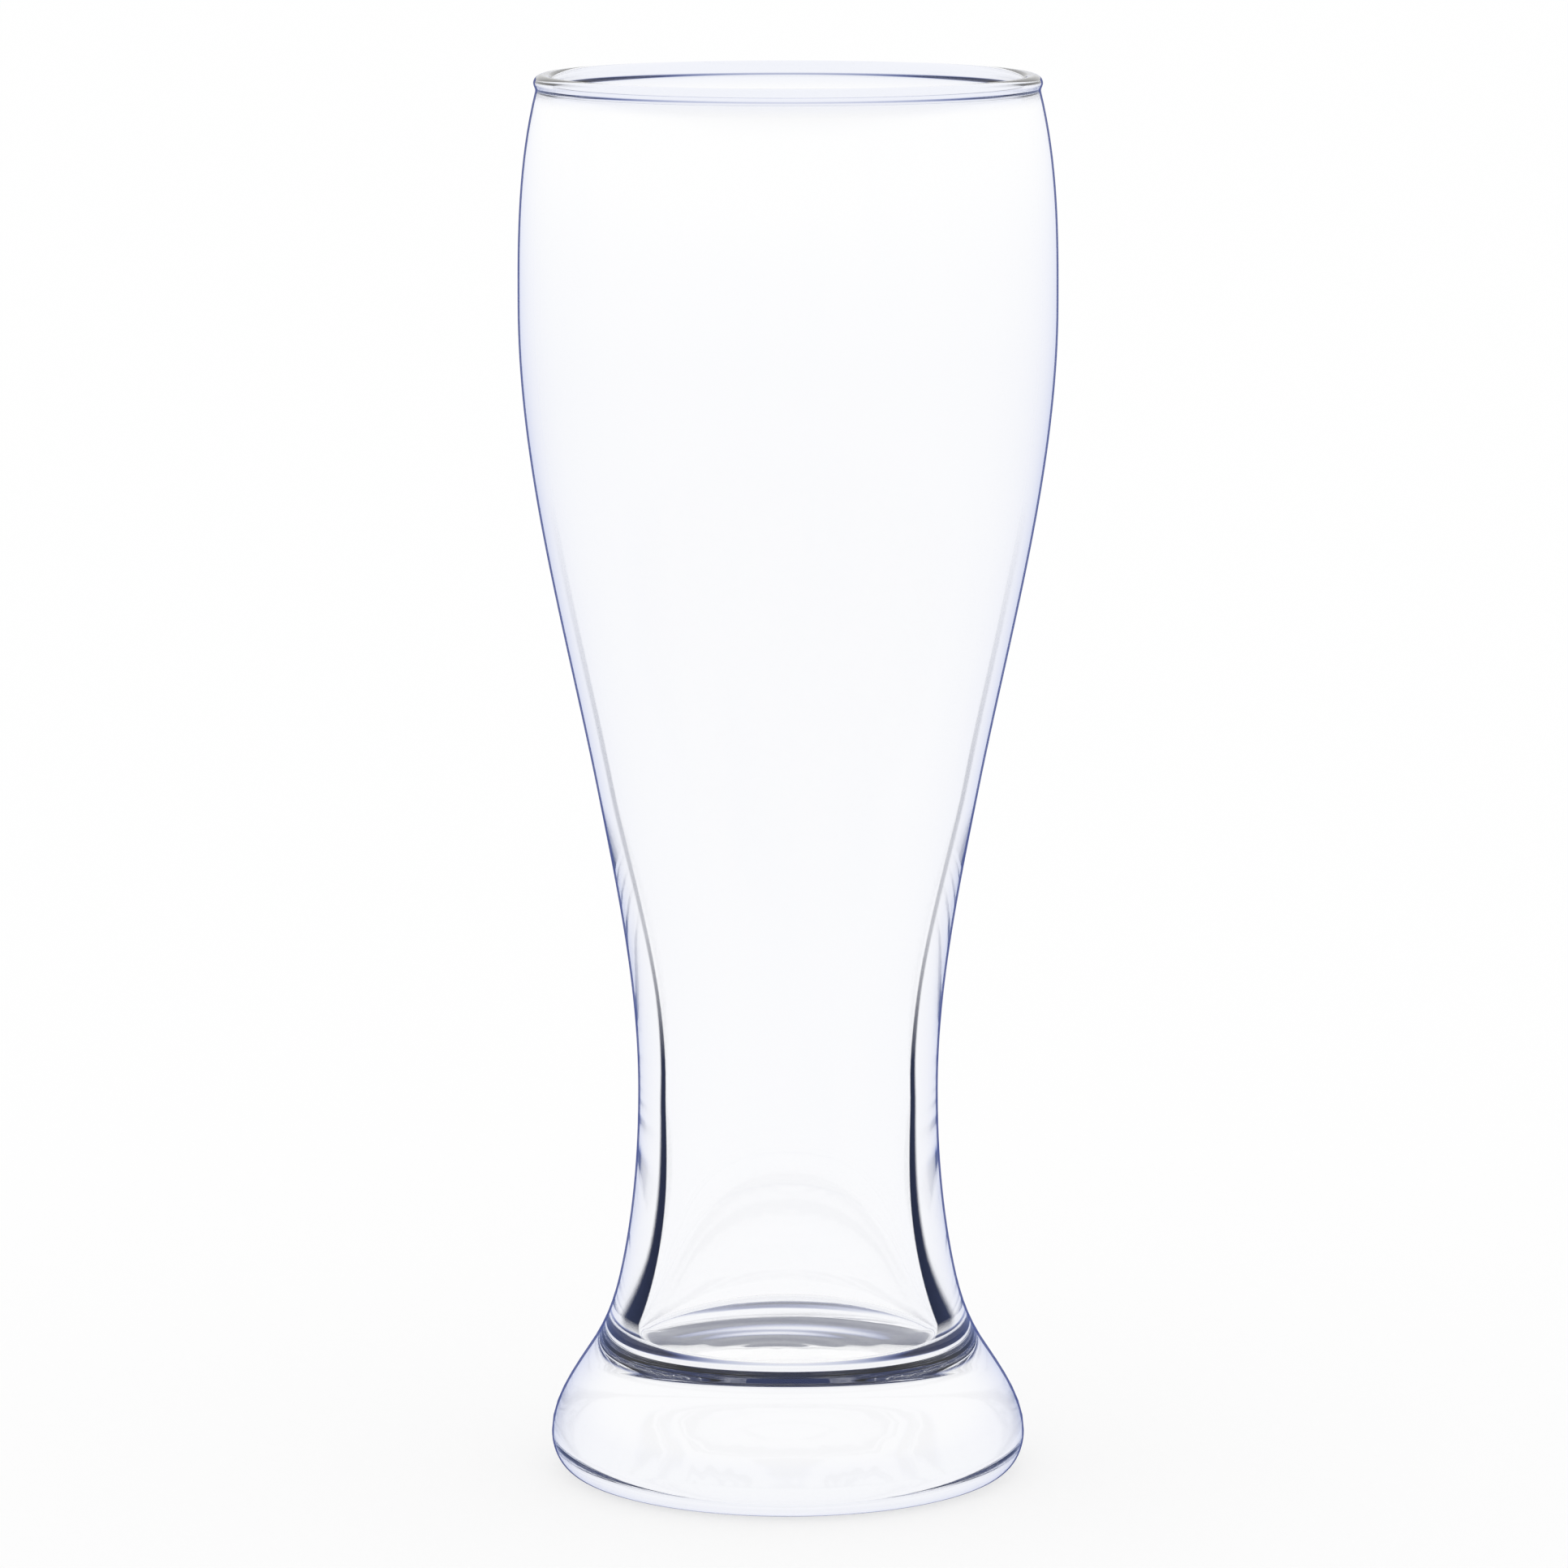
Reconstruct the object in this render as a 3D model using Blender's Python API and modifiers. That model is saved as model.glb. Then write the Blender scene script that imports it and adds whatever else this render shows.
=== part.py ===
"""A pilsner glass: a tall waisted beer glass of clear glass, as rim bead, blown bowl and solid foot.

Metres, +Z up. The origin is the centre of the base, on the table. The glass is turned about Z, and its
outline is a smooth curve through a few stations, each a height, a radius and a slope.
"""

import math

import bmesh
import bpy

OBJECT_NAME = "pilsner_glass"

# Height over all, and the outline's stations: the lower ones from the table up, the upper ones from the
# rim joint down, so that the leg between waist and shoulder takes up a change of height
HEIGHT = 0.2123
FOOT_EDGE_HEIGHT = 0.0053
NECK_ABOVE_EDGE = 0.0131
ANKLE_ABOVE_NECK = 0.0129
WAIST_ABOVE_ANKLE = 0.0276
BELLY_BELOW_RIM = 0.0322
SHOULDER_BELOW_BELLY = 0.0732

# Outer radii at the stations
BEARING_RADIUS = 0.0325
FOOT_RADIUS = 0.03616
NECK_RADIUS = 0.0302
ANKLE_RADIUS = 0.02532
WAIST_RADIUS = 0.02279
SHOULDER_RADIUS = 0.02879
BELLY_RADIUS = 0.04044
RIM_RADIUS = 0.03766

# Radius gained for each metre of height where the outline leans
NECK_SLOPE = -0.66
ANKLE_SLOPE = -0.203
SHOULDER_SLOPE = 0.194
RIM_SLOPE = -0.25

# Wall of the bowl, measured level, and the hollow's floor
WAIST_WALL = 0.0041
SHOULDER_WALL = 0.0025
BELLY_WALL = 0.00245
RIM_WALL = 0.0024
FLOOR_HEIGHT = 0.0205
FLOOR_RADIUS = 0.0234
FLOOR_SLOPE = -0.42
FLOOR_FILLET = 0.0008
BOWL_FLOOR = 0.0040

# Rim bead: an oval ring, cut flat where it joins the wall, that stands a little proud of it
BEAD_HALF_HEIGHT = 0.00125
BEAD_LIP = 0.00028
BEAD_CUT_ANGLE = math.radians(50)

# Underside of the foot
BEARING_WIDTH = 0.0072
PUNT_DEPTH = 0.0023

# Clearance left at each fused joint
JOINT_GAP = 0.0003

# Fineness of the turned surfaces
TURN_STEPS = 64
STRETCH_STEPS = 5
ROUND_STEPS = 6
BEAD_STEPS = 10
MERGE_DISTANCE = 0.00001

NECK_HEIGHT = FOOT_EDGE_HEIGHT + NECK_ABOVE_EDGE
ANKLE_HEIGHT = NECK_HEIGHT + ANKLE_ABOVE_NECK
WAIST_HEIGHT = ANKLE_HEIGHT + WAIST_ABOVE_ANKLE
BEAD_BOTTOM = HEIGHT - BEAD_HALF_HEIGHT * (1 + math.sin(BEAD_CUT_ANGLE))
RIM_HEIGHT = BEAD_BOTTOM - JOINT_GAP
BELLY_HEIGHT = RIM_HEIGHT - BELLY_BELOW_RIM
SHOULDER_HEIGHT = BELLY_HEIGHT - SHOULDER_BELOW_BELLY
FOOT_TOP = FLOOR_HEIGHT - BOWL_FLOOR
BOWL_BOTTOM = FOOT_TOP + JOINT_GAP

OUTER = [
    (FOOT_EDGE_HEIGHT, FOOT_RADIUS, 0.0),
    (NECK_HEIGHT, NECK_RADIUS, NECK_SLOPE),
    (ANKLE_HEIGHT, ANKLE_RADIUS, ANKLE_SLOPE),
    (WAIST_HEIGHT, WAIST_RADIUS, 0.0),
    (SHOULDER_HEIGHT, SHOULDER_RADIUS, SHOULDER_SLOPE),
    (BELLY_HEIGHT, BELLY_RADIUS, 0.0),
    (RIM_HEIGHT, RIM_RADIUS, RIM_SLOPE),
]
INNER = [
    (FLOOR_HEIGHT, FLOOR_RADIUS, FLOOR_SLOPE),
    (WAIST_HEIGHT, WAIST_RADIUS - WAIST_WALL, 0.0),
    (SHOULDER_HEIGHT, SHOULDER_RADIUS - SHOULDER_WALL, SHOULDER_SLOPE),
    (BELLY_HEIGHT, BELLY_RADIUS - BELLY_WALL, 0.0),
    (RIM_HEIGHT, RIM_RADIUS - RIM_WALL, RIM_SLOPE),
]


def radius_at(stations, height):
    """Radius of the smooth curve through the stations, which run from the lowest up."""
    spans = list(zip(stations, stations[1:]))
    low, high = next((pair for pair in spans if height <= pair[1][0]), spans[-1])
    span = high[0] - low[0]
    t = (height - low[0]) / span
    near = (1 + 2 * t) * (1 - t) ** 2
    far = t * t * (3 - 2 * t)
    leave = t * (1 - t) ** 2 * span
    arrive = t * t * (t - 1) * span
    return near * low[1] + far * high[1] + leave * low[2] + arrive * high[2]


def curve(stations, bottom, top):
    """Points (radius, height) up the curve, with the same number of steps between any two stations."""
    heights = []
    for (low, _, _), (high, _, _) in zip(stations, stations[1:]):
        heights += [low + (high - low) * step / STRETCH_STEPS for step in range(STRETCH_STEPS)]
    inside = [height for height in heights if bottom < height < top]
    return [(radius_at(stations, height), height) for height in [bottom, *inside, top]]


def oval(centre, half_width, half_height, start, end, steps):
    """Points on an oval from one angle to another, measured from the outward direction upwards."""
    angles = [start + (end - start) * step / steps for step in range(steps + 1)]
    return [
        (centre[0] + half_width * math.cos(angle), centre[1] + half_height * math.sin(angle))
        for angle in angles
    ]


def glass(name, colour, roughness):
    """Clear glass with its own faint tint."""
    material = bpy.data.materials.new(name)
    material.use_nodes = True
    shader = material.node_tree.nodes["Principled BSDF"]
    shader.inputs["Base Color"].default_value = (*colour, 1.0)
    shader.inputs["Roughness"].default_value = roughness
    shader.inputs["Metallic"].default_value = 0.0
    shader.inputs["Transmission Weight"].default_value = 1.0
    shader.inputs["IOR"].default_value = 1.52
    material.diffuse_color = (*colour, 0.4)
    return material


def turned(name, outline, closed, seat, material, parent, collection):
    """An object turned about Z from an outline that runs down its outer side, placed at its seat."""
    mesh = bpy.data.meshes.new(name)
    shape = bmesh.new()
    points = [shape.verts.new((radius, 0.0, height - seat)) for radius, height in outline]
    for start, end in zip(points, points[1:]):
        shape.edges.new((start, end))
    if closed:
        shape.edges.new((points[-1], points[0]))
    shape.to_mesh(mesh)
    shape.free()
    mesh.materials.append(material)

    piece = bpy.data.objects.new(name, mesh)
    piece.location = (0.0, 0.0, seat)
    piece.parent = parent
    collection.objects.link(piece)
    turn = piece.modifiers.new("Turn", "SCREW")
    turn.axis = "Z"
    turn.angle = 2 * math.pi
    turn.steps = TURN_STEPS
    turn.render_steps = TURN_STEPS
    turn.use_merge_vertices = True
    turn.merge_threshold = MERGE_DISTANCE
    turn.use_smooth_shade = True
    return piece


def rim_bead_outline():
    """Over the bead from its inner joint edge to its outer one; the flat underside closes it."""
    outer = RIM_RADIUS + BEAD_LIP
    inner = RIM_RADIUS - RIM_WALL - BEAD_LIP
    centre = ((outer + inner) / 2, BEAD_BOTTOM + BEAD_HALF_HEIGHT * math.sin(BEAD_CUT_ANGLE))
    half_width = (outer - inner) / 2
    start = math.pi + BEAD_CUT_ANGLE
    return oval(centre, half_width, BEAD_HALF_HEIGHT, start, -BEAD_CUT_ANGLE, BEAD_STEPS)


def bowl_outline():
    """From the middle of the hollow's floor up the inner wall, over the top, and down the outer wall."""
    fillet_top = FLOOR_HEIGHT + FLOOR_FILLET
    fillet_radius = radius_at(INNER, fillet_top)
    centre = (fillet_radius - FLOOR_FILLET, fillet_top)
    fillet = oval(centre, FLOOR_FILLET, FLOOR_FILLET, -math.pi / 2, 0.0, ROUND_STEPS)
    inside = curve(INNER, fillet_top, RIM_HEIGHT)
    outside = curve(OUTER, BOWL_BOTTOM, RIM_HEIGHT)
    return [(0.0, FLOOR_HEIGHT), *fillet, *inside[1:], *reversed(outside), (0.0, BOWL_BOTTOM)]


def foot_outline():
    """From the middle of the joint face out to the sweep, down round the edge, and in over the punt."""
    sweep = list(reversed(curve(OUTER, FOOT_EDGE_HEIGHT, FOOT_TOP)))
    centre = (BEARING_RADIUS, FOOT_EDGE_HEIGHT)
    half_width = FOOT_RADIUS - BEARING_RADIUS
    edge = oval(centre, half_width, FOOT_EDGE_HEIGHT, 0.0, -math.pi / 2, ROUND_STEPS)
    punt_radius = BEARING_RADIUS - BEARING_WIDTH
    punt = [
        (punt_radius * (1 - step / ROUND_STEPS), PUNT_DEPTH * (1 - (1 - step / ROUND_STEPS) ** 2))
        for step in range(ROUND_STEPS + 1)
    ]
    return [(0.0, FOOT_TOP), *sweep, *edge[1:], *punt]


def main():
    for old in list(bpy.data.objects):
        bpy.data.objects.remove(old, do_unlink=True)

    collection = bpy.data.collections.new(OBJECT_NAME)
    bpy.context.scene.collection.children.link(collection)
    whole = bpy.data.objects.new(OBJECT_NAME, None)
    collection.objects.link(whole)

    pieces = [
        ("rim_bead", rim_bead_outline(), True, BEAD_BOTTOM, glass("rim_glass", (0.95, 0.96, 0.99), 0.02)),
        ("bowl", bowl_outline(), False, BOWL_BOTTOM, glass("bowl_glass", (0.96, 0.97, 0.99), 0.01)),
        ("foot", foot_outline(), False, 0.0, glass("foot_glass", (0.93, 0.94, 0.98), 0.02)),
    ]
    for name, outline, closed, seat, material in pieces:
        turned(name, outline, closed, seat, material, whole, collection)


main()
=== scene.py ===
import math

import bmesh
import bpy
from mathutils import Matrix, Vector, noise


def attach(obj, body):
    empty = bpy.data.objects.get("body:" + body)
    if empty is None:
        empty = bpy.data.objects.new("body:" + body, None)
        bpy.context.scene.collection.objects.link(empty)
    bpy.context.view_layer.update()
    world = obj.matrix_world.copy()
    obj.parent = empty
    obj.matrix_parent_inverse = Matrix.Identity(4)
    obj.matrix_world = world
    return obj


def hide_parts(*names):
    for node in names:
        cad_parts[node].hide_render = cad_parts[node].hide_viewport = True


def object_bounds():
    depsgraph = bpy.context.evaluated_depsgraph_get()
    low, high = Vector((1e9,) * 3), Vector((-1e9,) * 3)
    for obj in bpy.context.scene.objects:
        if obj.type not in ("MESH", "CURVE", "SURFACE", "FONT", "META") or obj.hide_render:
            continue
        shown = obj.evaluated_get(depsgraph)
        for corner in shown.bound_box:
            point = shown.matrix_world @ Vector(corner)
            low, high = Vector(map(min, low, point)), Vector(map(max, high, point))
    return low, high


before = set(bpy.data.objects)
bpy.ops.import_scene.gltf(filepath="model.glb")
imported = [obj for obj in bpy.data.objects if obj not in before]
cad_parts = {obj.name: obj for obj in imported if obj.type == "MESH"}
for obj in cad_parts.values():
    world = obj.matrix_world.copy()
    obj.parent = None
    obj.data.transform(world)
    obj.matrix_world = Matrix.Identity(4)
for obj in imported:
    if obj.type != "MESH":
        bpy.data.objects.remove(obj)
cad_low, cad_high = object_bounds()

# Outline of the glass, in metres: heights from the table up, radii from the axis
FOOT_EDGE_HEIGHT, FOOT_RADIUS = 0.0053, 0.03616
BEARING_RADIUS = 0.0325
NECK_HEIGHT, NECK_RADIUS, NECK_SLOPE = 0.0184, 0.0302, -0.66
ANKLE_HEIGHT, ANKLE_RADIUS, ANKLE_SLOPE = 0.0313, 0.02532, -0.203
WAIST_HEIGHT, WAIST_RADIUS = 0.0589, 0.02279
SHOULDER_HEIGHT, SHOULDER_RADIUS, SHOULDER_SLOPE = 0.1044, 0.02879, 0.194
BELLY_HEIGHT, BELLY_RADIUS = 0.1776, 0.04044
RIM_HEIGHT, RIM_RADIUS, RIM_SLOPE = 0.2098, 0.03766, -0.25

# Wall of the bowl and the hollow's floor, which is dished a little
WAIST_WALL, SHOULDER_WALL, BELLY_WALL, RIM_WALL = 0.0041, 0.0025, 0.00245, 0.0024
FLOOR_HEIGHT, FLOOR_RADIUS, FLOOR_SLOPE = 0.02047, 0.0234, -0.42
FLOOR_FILLET, FLOOR_DISH = 0.00077, 0.00037

# Rim bead and underside
BEAD_HALF_HEIGHT, BEAD_LIP = 0.00125, 0.00028
BEAD_HEIGHT = cad_high.z - BEAD_HALF_HEIGHT
BEAD_OUTER, BEAD_INNER = RIM_RADIUS + BEAD_LIP, RIM_RADIUS - RIM_WALL - BEAD_LIP
BEARING_WIDTH, PUNT_DEPTH = 0.0072, 0.0023

# Marks of the making: rings that the plunger leaves on the floor, and a faint wave of the blown wall
RING_HEIGHT, RING_SPACING = 0.00002, 0.0045
RING_CENTRE = Vector((-0.0016, -0.013))
RING_END, RING_FADE = 0.0215, 0.003
WAVE_DEPTH, WAVES_PER_METRE = 0.000008, 110
WAVE_TOP = RIM_HEIGHT - 0.002

# How close a point is to the inner wall or the floor when it counts as on it
WALL_CLOSE, FLOOR_CLOSE, UNDER_FLOOR = 0.0004, 0.0001, 0.001

# Painted shade: a dark line painted where the glass turns edge-on, which ends under the bead's crest, and a
# dark
# line painted along the inner wall: how dark it is and how far it runs as the wall turns away, each at a
# height
LINE_WIDTH, LINE_STRENGTH = 0.0003, 0.9
LINE_END, LINE_FADE = BEAD_HEIGHT + 0.0011, 0.0005
WALL_LINE = [(0.0, 0.0), (0.0215, 0.0), (0.0225, 1.0), (0.065, 1.0), (0.085, 0.45), (0.150, 0.0), (1.0, 0.0)]
WALL_SPAN = [(0.0, 0.085), (0.024, 0.085), (0.034, 0.050), (0.055, 0.028), (0.075, 0.012), (1.0, 0.012)]

# The inner wall turns light in the glass back whole from here on, as Layer Weight's facing; the painted dark
# line there begins and ends softly, and is full over a share of its run
TURNED_BACK = 0.248
LINE_BEGIN, LINE_TAIL, LINE_FULL = 0.005, 0.003, 0.6

# Painted shade: a pale lavender shade in the bead and in the foot's edge: the height where each starts, and
# how fast it fades
BEAD_SHADE_START, BEAD_SHADE_FADE = RIM_HEIGHT - 0.0006, 0.0008
FOOT_SHADE, FOOT_SHADE_END, FOOT_SHADE_FADE = 0.5, 0.0045, 0.0035
FOOT_SHADE_RADIUS = BEARING_RADIUS - 0.001

# Colours of the glass: faint wisps, the painted pale shade, the painted dark lines outside and inside, and
# what the thick parts take up
WHITE = (1, 1, 1, 1)
WISP_COLOUR = (0.992, 0.994, 0.998, 1)
# Painted shade: the pale lavender painted into the bead and the foot's edge
PALE_SHADE_COLOUR = (0.89, 0.905, 0.965, 1)
# Painted shade: the navy of the dark lines painted where the glass turns edge-on and along the inner wall
OUTLINE_SHADE_COLOUR, WALL_LINE_SHADE_COLOUR = (0.085, 0.108, 0.29, 1), (0.004, 0.006, 0.02, 1)
DEPTH_COLOUR, DEPTH_DENSITY = (0.2, 0.3, 0.6, 1), 0.6
WISP_STRETCH = (70, 70, 9)

# Fineness of the turned glass
TURN_STEPS = 256
WALL_STEP, BEAD_STEP = 0.002, 0.00015
FLOOR_STEPS, ROUND_STEPS, BEAD_STEPS = 48, 16, 24

# Camera: the photograph's frame is square, and its focal length is worked out in its own pixels
PHOTO_SIDE = 1932
FOCAL_PIXELS = 8869
AXIS_PIXEL = 971
SENSOR_WIDTH = 36.0
CAMERA_DISTANCE, CAMERA_HEIGHT, AIM_HEIGHT = 1.075, 0.2744, 0.1053

# White tent round the glass: the height of its middle, and the reach of its cloths from the axis
TENT_HEIGHT = 0.1
TENT_RADIUS, MIRRORED_RADIUS = 0.5, 0.55
TABLE_RADIUS = 0.098
FLOOR_DROP, TABLE_DROP = 0.0002, 0.0001

# White paper on the floor: its reach, its colour, and the share of plain white that the camera sees in it
FLOOR_REACH, PAPER_COLOUR, PAPER_WHITE = 6.0, (0.99, 0.99, 0.99, 1), 0.7

# Where the tent is dark: its roof and the mirrored dark, in degrees above its middle, and a painted shadow
# ring round the foot on the table, in millimetres from the axis
ROOF_START, ROOF_FULL = 26, 32
MIRRORED_DARK, MIRRORED_FADE, MIRRORED_END = 0.7, -4, 18
FOOT_SHADOW_RING = (35.5, 37, 44, 46.5)

# Light left in the dark: how much goes at most, and the blue that stays in each cloth
DARKEST = 0.997
ROOF_BLUE, MIRRORED_BLUE, FOOT_SHADOW_BLUE = 0.05, 0.35, 0.015
GREEN_CURVE, BLUE_CURVE, GREEN_OF_BLUE = 0.92, 0.6, 0.2

BOUNCES = 32

OUTER = [
    (FOOT_EDGE_HEIGHT, FOOT_RADIUS, 0.0),
    (NECK_HEIGHT, NECK_RADIUS, NECK_SLOPE),
    (ANKLE_HEIGHT, ANKLE_RADIUS, ANKLE_SLOPE),
    (WAIST_HEIGHT, WAIST_RADIUS, 0.0),
    (SHOULDER_HEIGHT, SHOULDER_RADIUS, SHOULDER_SLOPE),
    (BELLY_HEIGHT, BELLY_RADIUS, 0.0),
    (RIM_HEIGHT, RIM_RADIUS, RIM_SLOPE),
    (BEAD_HEIGHT, BEAD_OUTER, 0.0),
]
INNER = [
    (FLOOR_HEIGHT, FLOOR_RADIUS, FLOOR_SLOPE),
    (WAIST_HEIGHT, WAIST_RADIUS - WAIST_WALL, 0.0),
    (SHOULDER_HEIGHT, SHOULDER_RADIUS - SHOULDER_WALL, SHOULDER_SLOPE),
    (BELLY_HEIGHT, BELLY_RADIUS - BELLY_WALL, 0.0),
    (RIM_HEIGHT, RIM_RADIUS - RIM_WALL, RIM_SLOPE),
    (BEAD_HEIGHT, BEAD_INNER, 0.0),
]


class Wire:
    """A shader socket that takes Python arithmetic: each operation adds a Math node."""

    def __init__(self, tree, socket=None):
        self.tree, self.socket = tree, socket

    def make(self, kind, settings=None, inputs=None, output=0):
        """A node of a kind, with its settings, then the values or links of its sockets."""
        node = self.tree.nodes.new(kind)
        for name, value in (settings or {}).items():
            setattr(node, name, value)
        for name, value in (inputs or {}).items():
            if isinstance(value, Wire):
                self.tree.links.new(value.socket, node.inputs[name])
            else:
                node.inputs[name].default_value = value
        return Wire(self.tree, node.outputs[output]) if node.outputs else node

    def other(self, output):
        """Another output of the same node."""
        return Wire(self.tree, self.socket.node.outputs[output])

    def math(self, operation, *values):
        return self.make("ShaderNodeMath", {"operation": operation}, dict(enumerate(values)))

    def __add__(self, other):
        return self.math("ADD", self, other)

    def __sub__(self, other):
        return self.math("SUBTRACT", self, other)

    def __rsub__(self, other):
        return self.math("SUBTRACT", other, self)

    def __mul__(self, other):
        return self.math("MULTIPLY", self, other)

    def __pow__(self, other):
        return self.math("POWER", self, other)

    __radd__, __rmul__ = __add__, __mul__

    def rise(self, start, end):
        """0 before start, 1 after end, and smooth between."""
        settings = {"interpolation_type": "SMOOTHSTEP"}
        return self.make("ShaderNodeMapRange", settings, {"Value": self, "From Min": start, "From Max": end})

    def fall(self, start, end):
        return 1 - self.rise(start, end)

    def band(self, start, full, fade, end):
        """1 from full to fade, and 0 outside start and end."""
        return self.rise(start, full) * self.fall(fade, end)


def radius_at(stations, height):
    """Radius of the smooth curve through the stations, which run from the lowest up."""
    spans = list(zip(stations, stations[1:]))
    low, high = next((pair for pair in spans if height <= pair[1][0]), spans[-1])
    span = high[0] - low[0]
    t = (height - low[0]) / span
    near = (1 + 2 * t) * (1 - t) ** 2
    far = t * t * (3 - 2 * t)
    leave = t * (1 - t) ** 2 * span
    arrive = t * t * (t - 1) * span
    return near * low[1] + far * high[1] + leave * low[2] + arrive * high[2]


def value_at(stops, height):
    """Value at a height on the straight lines between stops."""
    low, high = next(pair for pair in zip(stops, stops[1:]) if height <= pair[1][0])
    share = (height - low[0]) / (high[0] - low[0])
    return low[1] + (high[1] - low[1]) * share


def smooth_step(share):
    share = min(1.0, max(0.0, share))
    return share * share * (3 - 2 * share)


def curve(stations, bottom, top, step):
    """Points (radius, height) up the curve, about a step apart."""
    count = max(2, math.ceil((top - bottom) / step))
    heights = [bottom + (top - bottom) * i / count for i in range(count + 1)]
    return [(radius_at(stations, height), height) for height in heights]


def oval(centre, half_width, half_height, start, end, steps):
    """Points on an oval from one angle to another, measured from the outward direction upwards."""
    angles = [start + (end - start) * step / steps for step in range(steps + 1)]
    return [
        (centre[0] + half_width * math.cos(angle), centre[1] + half_height * math.sin(angle))
        for angle in angles
    ]


def hollow_outline():
    """From the middle of the hollow's floor up the inner wall to the bead."""
    fillet_top = FLOOR_HEIGHT + FLOOR_FILLET
    centre = (radius_at(INNER, fillet_top) - FLOOR_FILLET, fillet_top)
    shares = [i / FLOOR_STEPS for i in range(FLOOR_STEPS)]
    floor = [(centre[0] * share, FLOOR_HEIGHT - FLOOR_DISH * (1 - share ** 2)) for share in shares]
    fillet = oval(centre, FLOOR_FILLET, FLOOR_FILLET, -math.pi / 2, 0.0, ROUND_STEPS)
    wall = curve(INNER, fillet_top, RIM_HEIGHT, WALL_STEP)
    lip = curve(INNER, RIM_HEIGHT, BEAD_HEIGHT, BEAD_STEP)
    return [*floor, *fillet, *wall[1:], *lip[1:]]


def outer_outline():
    """Down from the bead to the foot's edge, round it, and in over the punt."""
    lip = list(reversed(curve(OUTER, RIM_HEIGHT, BEAD_HEIGHT, BEAD_STEP)))
    wall = list(reversed(curve(OUTER, FOOT_EDGE_HEIGHT, RIM_HEIGHT, WALL_STEP)))
    edge_centre = (BEARING_RADIUS, FOOT_EDGE_HEIGHT)
    edge_half = FOOT_RADIUS - BEARING_RADIUS
    edge = oval(edge_centre, edge_half, FOOT_EDGE_HEIGHT, 0.0, -math.pi / 2, ROUND_STEPS)
    punt_radius = BEARING_RADIUS - BEARING_WIDTH
    shares = [1 - i / ROUND_STEPS for i in range(ROUND_STEPS + 1)]
    punt = [(punt_radius * share, PUNT_DEPTH * (1 - share ** 2)) for share in shares]
    return [*lip[1:], *wall[1:], *edge[1:], *punt]


def glass_outline():
    """From the middle of the hollow's floor up inside, over the bead, down outside, and in below."""
    centre = ((BEAD_OUTER + BEAD_INNER) / 2, BEAD_HEIGHT)
    half_width = (BEAD_OUTER - BEAD_INNER) / 2
    bead = oval(centre, half_width, BEAD_HALF_HEIGHT, math.pi, 0.0, BEAD_STEPS)
    return [*hollow_outline(), *bead[1:], *outer_outline()]


def link(name, mesh):
    piece = bpy.data.objects.new(name, mesh)
    bpy.context.scene.collection.objects.link(piece)
    return piece


def faces_hollow(vert):
    """Whether a point of the glass is on the floor or the inner wall."""
    height = min(vert.co.z, BEAD_HEIGHT)
    radius = math.hypot(vert.co.x, vert.co.y)
    return height > FLOOR_HEIGHT - UNDER_FLOOR and radius < radius_at(INNER, height) + WALL_CLOSE


def mark_edges(shape):
    """Attributes for the material: painted dark lines along edge-on glass, and a painted pale lavender shade
    in the bead and the foot's edge.
    """
    layers = shape.verts.layers.float
    outline, wall_line, wall_span, pale_shade = [
        layers.new(name) for name in ("outline", "wall_line", "wall_span", "pale_shade")
    ]
    for vert in shape.verts:
        radius = math.hypot(vert.co.x, vert.co.y)
        height = vert.co.z
        if faces_hollow(vert):
            vert[wall_line] = value_at(WALL_LINE, height)
        else:
            inside_line = 1 - min(1.0, LINE_WIDTH / max(radius, LINE_WIDTH))
            below_top = smooth_step((LINE_END - height) / LINE_FADE)
            vert[outline] = math.sqrt(1 - inside_line ** 2) * below_top
        vert[wall_span] = value_at(WALL_SPAN, height)
        # Painted shade: a pale lavender shade in the bead, and in the foot's edge, stronger towards its
        # bottom
        vert[pale_shade] = smooth_step((height - BEAD_SHADE_START) / BEAD_SHADE_FADE)
        if radius > FOOT_SHADE_RADIUS:
            foot_shade = FOOT_SHADE * smooth_step((FOOT_SHADE_END - height) / FOOT_SHADE_FADE)
            vert[pale_shade] = max(vert[pale_shade], foot_shade)


def mark_hollow(shape):
    """The plunger's rings on the floor, and the wave of the inner wall."""
    for vert in shape.verts:
        if not faces_hollow(vert) or vert.co.z > WAVE_TOP:
            continue
        radius = math.hypot(vert.co.x, vert.co.y)
        if vert.co.z < FLOOR_HEIGHT + FLOOR_CLOSE:
            ring = math.sin(2 * math.pi * (vert.co.xy - RING_CENTRE).length / RING_SPACING)
            vert.co.z += RING_HEIGHT * ring * smooth_step((RING_END - radius) / RING_FADE)
        else:
            vert.co.xy *= 1 + WAVE_DEPTH * noise.noise(vert.co * WAVES_PER_METRE) / radius


def turned_glass():
    mesh = bpy.data.meshes.new("glass")
    shape = bmesh.new()
    points = [shape.verts.new((radius, 0.0, height)) for radius, height in glass_outline()]
    edges = [shape.edges.new(pair) for pair in zip(points, points[1:])]
    bmesh.ops.spin(
        shape, geom=points + edges, cent=(0, 0, 0), axis=(0, 0, 1), dvec=(0, 0, 0),
        angle=2 * math.pi, steps=TURN_STEPS, use_merge=True, use_duplicate=False,
    )
    bmesh.ops.remove_doubles(shape, verts=shape.verts, dist=1e-6)
    bmesh.ops.recalc_face_normals(shape, faces=shape.faces)
    mark_edges(shape)
    mark_hollow(shape)
    for face in shape.faces:
        face.smooth = True
    shape.to_mesh(mesh)
    shape.free()
    return link("glass", mesh)


def new_material(name):
    material = bpy.data.materials.new(name)
    material.use_nodes = True
    material.node_tree.nodes.clear()
    return material, Wire(material.node_tree)


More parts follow.
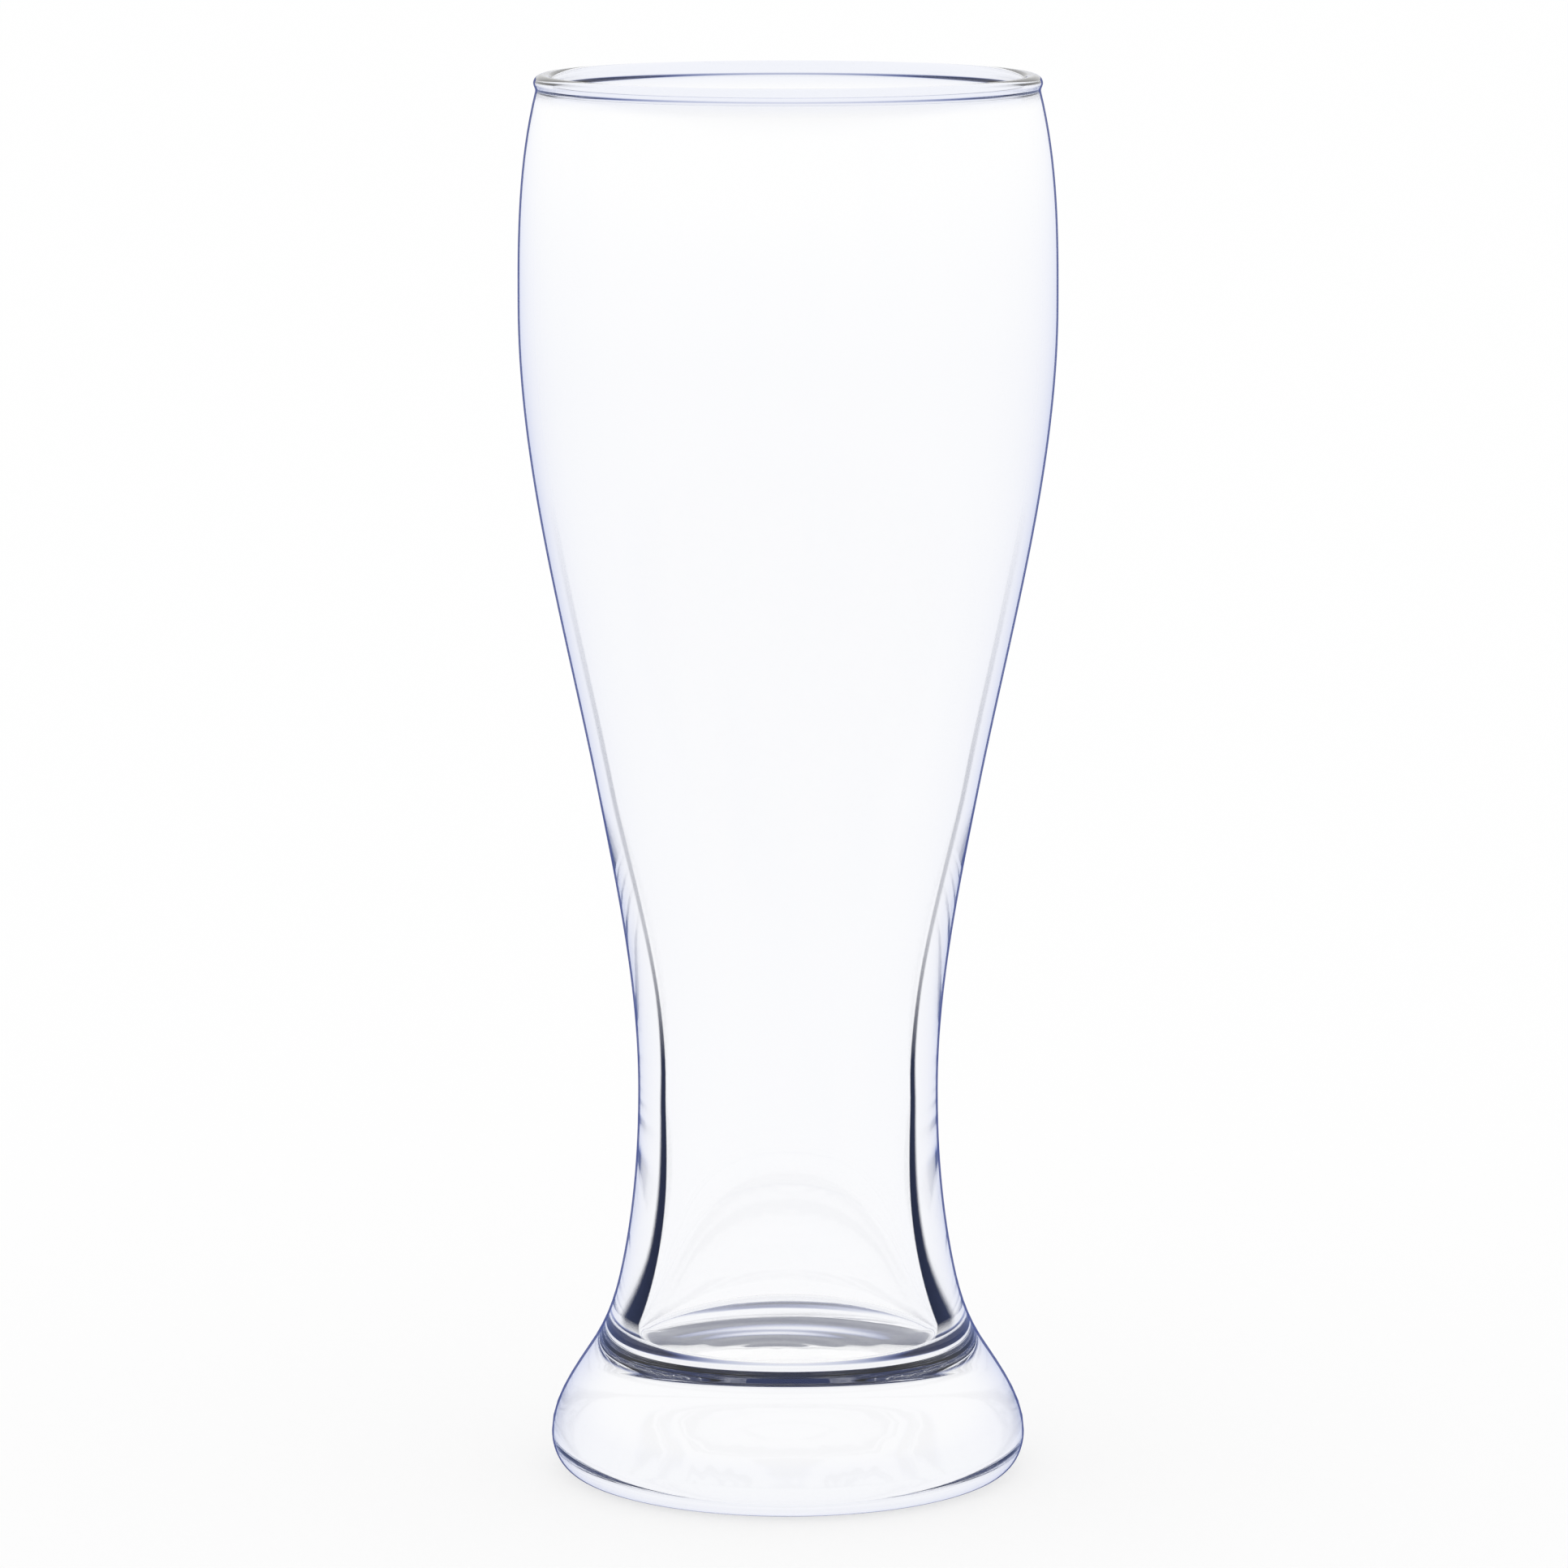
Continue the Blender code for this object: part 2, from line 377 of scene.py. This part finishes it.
def attribute(sheet, name):
    return sheet.make("ShaderNodeAttribute", {"attribute_name": name}, output="Fac")


def blend(sheet, share, first, second):
    """One colour where the share is 0, and another where it is 1."""
    return sheet.make("ShaderNodeMix", {"data_type": "RGBA"}, {0: share, 6: first, 7: second}, output=2)


def clear_glass():
    """Clear glass with faint wisps along the wall, a painted pale shade in the bead and the foot's edge, and
    painted dark lines where it is seen edge-on.
    """
    material, sheet = new_material("clear_glass")
    place = sheet.make("ShaderNodeTexCoord", output="Object")
    stretched = sheet.make("ShaderNodeVectorMath", {"operation": "MULTIPLY"}, {0: place, 1: WISP_STRETCH})
    wisps = sheet.make("ShaderNodeTexNoise", inputs={"Vector": stretched, "Scale": 1.0, "Detail": 2.0})
    clear = blend(sheet, wisps.rise(0.5, 0.8), WHITE, WISP_COLOUR)
    # Painted shade: the pale lavender shade in the bead and the foot's edge
    body = blend(sheet, attribute(sheet, "pale_shade"), clear, PALE_SHADE_COLOUR)
    shader = sheet.make(
        "ShaderNodeBsdfPrincipled",
        inputs={"Base Color": body, "Roughness": 0.0, "Transmission Weight": 1.0, "IOR": 1.52},
    )
    # Painted shade: a dark navy surface is mixed in where the glass turns edge-on outside, and along the
    # inner wall where light turns back
    inward = sheet.make("ShaderNodeNewGeometry", output="Backfacing")
    edge_shade_colour = blend(sheet, inward, OUTLINE_SHADE_COLOUR, WALL_LINE_SHADE_COLOUR)
    edge_shade_shader = sheet.make(
        "ShaderNodeBsdfPrincipled",
        inputs={"Base Color": edge_shade_colour, "Roughness": 0.6, "Specular IOR Level": 0.0},
    )
    facing = sheet.make("ShaderNodeLayerWeight", inputs={"Blend": 0.5}, output="Facing")
    square = 1 - facing
    outline_shade = LINE_STRENGTH * square.math("LESS_THAN", square, attribute(sheet, "outline")) * (1 - inward)
    span = attribute(sheet, "wall_span")
    fade, end = LINE_FULL * span + TURNED_BACK, span + TURNED_BACK + LINE_TAIL
    run = facing.band(TURNED_BACK - LINE_BEGIN, TURNED_BACK, fade, end)
    wall = run * attribute(sheet, "wall_line") * inward
    mix = sheet.make("ShaderNodeMixShader", inputs={0: outline_shade + wall, 1: shader, 2: edge_shade_shader})
    depth = {"Color": DEPTH_COLOUR, "Density": DEPTH_DENSITY}
    inside = sheet.make("ShaderNodeVolumeAbsorption", inputs=depth)
    sheet.make("ShaderNodeOutputMaterial", inputs={"Surface": mix, "Volume": inside})
    return material


def cloth_places(sheet):
    """The three coordinates of a place on a cloth."""
    place = sheet.make("ShaderNodeTexCoord", output="Object")
    x = sheet.make("ShaderNodeSeparateXYZ", inputs={0: place})
    return x, x.other("Y"), x.other("Z")


def cloth_material(name, pattern):
    """Glowing white cloth: its pattern gives each place its share of dark, and the blue left there."""
    material, sheet = new_material(name)
    dark, blue = pattern(*cloth_places(sheet))
    level = 1 - DARKEST * dark
    colour = sheet.make(
        "ShaderNodeCombineColor",
        inputs={0: level, 1: level ** GREEN_CURVE + GREEN_OF_BLUE * blue, 2: level ** BLUE_CURVE + blue},
    )
    glow = sheet.make("ShaderNodeEmission", inputs={"Color": colour, "Strength": 1.0})
    sheet.make("ShaderNodeOutputMaterial", inputs={"Surface": glow})
    material.cycles.emission_sampling = "NONE"
    return material


def degrees_above(x, y, z):
    """Degrees that a place on the tent stands above the tent's middle."""
    away = x.math("SQRT", x * x + y * y)
    return x.math("ARCTAN2", z - TENT_HEIGHT, away) * (180 / math.pi)


def tent_pattern(x, y, z):
    """White all round, under a dark roof that the neck and the floor show."""
    dark = degrees_above(x, y, z).rise(ROOF_START, ROOF_FULL)
    return dark, ROOF_BLUE * dark


def mirrored_pattern(x, y, z):
    """Dark round the lower half, for the walls to mirror where they turn edge-on."""
    dark = MIRRORED_DARK * degrees_above(x, y, z).fall(MIRRORED_FADE, MIRRORED_END)
    return dark, MIRRORED_BLUE * dark


def foot_shadow_pattern(x, y, z):
    """Painted shadow: a dark ring round the foot on the table, in millimetres from the axis, that the neck
    shows.
    """
    radius = x.math("SQRT", x * x + y * y) * 1000
    dark = radius.band(*FOOT_SHADOW_RING)
    return dark, FOOT_SHADOW_BLUE * dark


def ball(radius):
    shape = bmesh.new()
    bmesh.ops.create_uvsphere(shape, u_segments=64, v_segments=32, radius=radius)
    bmesh.ops.translate(shape, verts=shape.verts, vec=(0, 0, TENT_HEIGHT))
    return shape


def disc(radius, drop):
    shape = bmesh.new()
    bmesh.ops.create_circle(shape, cap_ends=True, radius=radius, segments=64)
    bmesh.ops.translate(shape, verts=shape.verts, vec=(0, 0, -drop))
    return shape


def hang_cloth(name, shape, material, mirrored=False):
    """Cloth that only the glass shows: through its walls, or mirrored on them."""
    mesh = bpy.data.meshes.new(name)
    shape.to_mesh(mesh)
    shape.free()
    mesh.materials.append(material)
    cloth = link(name, mesh)
    cloth.visible_camera = False
    cloth.visible_diffuse = False
    cloth.visible_shadow = False
    cloth.visible_volume_scatter = False
    cloth.visible_glossy = mirrored
    cloth.visible_transmission = not mirrored


def pitch_tent():
    """The tent stands still and is the same all round, so the glass looks alike from every side."""
    hang_cloth("tent", ball(TENT_RADIUS), cloth_material("tent", tent_pattern))
    mirrored = cloth_material("mirrored_tent", mirrored_pattern)
    hang_cloth("mirrored_tent", ball(MIRRORED_RADIUS), mirrored, mirrored=True)
    # Painted shadow: a dark ring round the foot, seen only through the glass
    table = cloth_material("foot_shadow_ring", foot_shadow_pattern)
    hang_cloth("foot_shadow_ring", disc(TABLE_RADIUS, TABLE_DROP), table)


def set_camera():
    lens = bpy.data.cameras.new("camera")
    lens.sensor_width = SENSOR_WIDTH
    lens.lens = SENSOR_WIDTH * FOCAL_PIXELS / PHOTO_SIDE
    camera = link("camera", lens)
    aside = -(AXIS_PIXEL - PHOTO_SIDE / 2) / FOCAL_PIXELS * CAMERA_DISTANCE
    camera.location = (aside, -CAMERA_DISTANCE, CAMERA_HEIGHT)
    look = Vector((aside, 0, AIM_HEIGHT)) - camera.location
    camera.rotation_euler = look.to_track_quat("-Z", "Y").to_euler()
    bpy.context.scene.camera = camera


def lay_floor():
    """White paper that keeps the glass's shadow; the glass shows the tent in its place."""
    mesh = bpy.data.meshes.new("floor")
    shape = disc(FLOOR_REACH, FLOOR_DROP)
    shape.to_mesh(mesh)
    shape.free()
    material, sheet = new_material("floor")
    paper = sheet.make("ShaderNodeBsdfDiffuse", inputs={"Color": PAPER_COLOUR})
    glow = sheet.make("ShaderNodeEmission", inputs={"Color": WHITE, "Strength": 1.0})
    seen = sheet.make("ShaderNodeLightPath", output="Is Camera Ray")
    mix = sheet.make("ShaderNodeMixShader", inputs={0: PAPER_WHITE * seen, 1: paper, 2: glow})
    sheet.make("ShaderNodeOutputMaterial", inputs={"Surface": mix})
    mesh.materials.append(material)
    floor = link("floor", mesh)
    floor.visible_glossy = False
    floor.visible_transmission = False


def light_studio():
    """Even white light from all round, and enough bounces for light to find its way out of the glass."""
    scene = bpy.context.scene
    scene.world = bpy.data.worlds.new("studio")
    scene.world.use_nodes = True
    background = scene.world.node_tree.nodes["Background"]
    background.inputs["Color"].default_value = WHITE
    background.inputs["Strength"].default_value = 1.0
    scene.view_settings.view_transform = "Standard"
    scene.cycles.max_bounces = BOUNCES
    scene.cycles.transmission_bounces = BOUNCES
    scene.cycles.glossy_bounces = BOUNCES


glass = turned_glass()
glass.data.materials.append(clear_glass())
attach(glass, "root")
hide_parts("rim_bead", "bowl", "foot")

set_camera()
lay_floor()
pitch_tent()
light_studio()
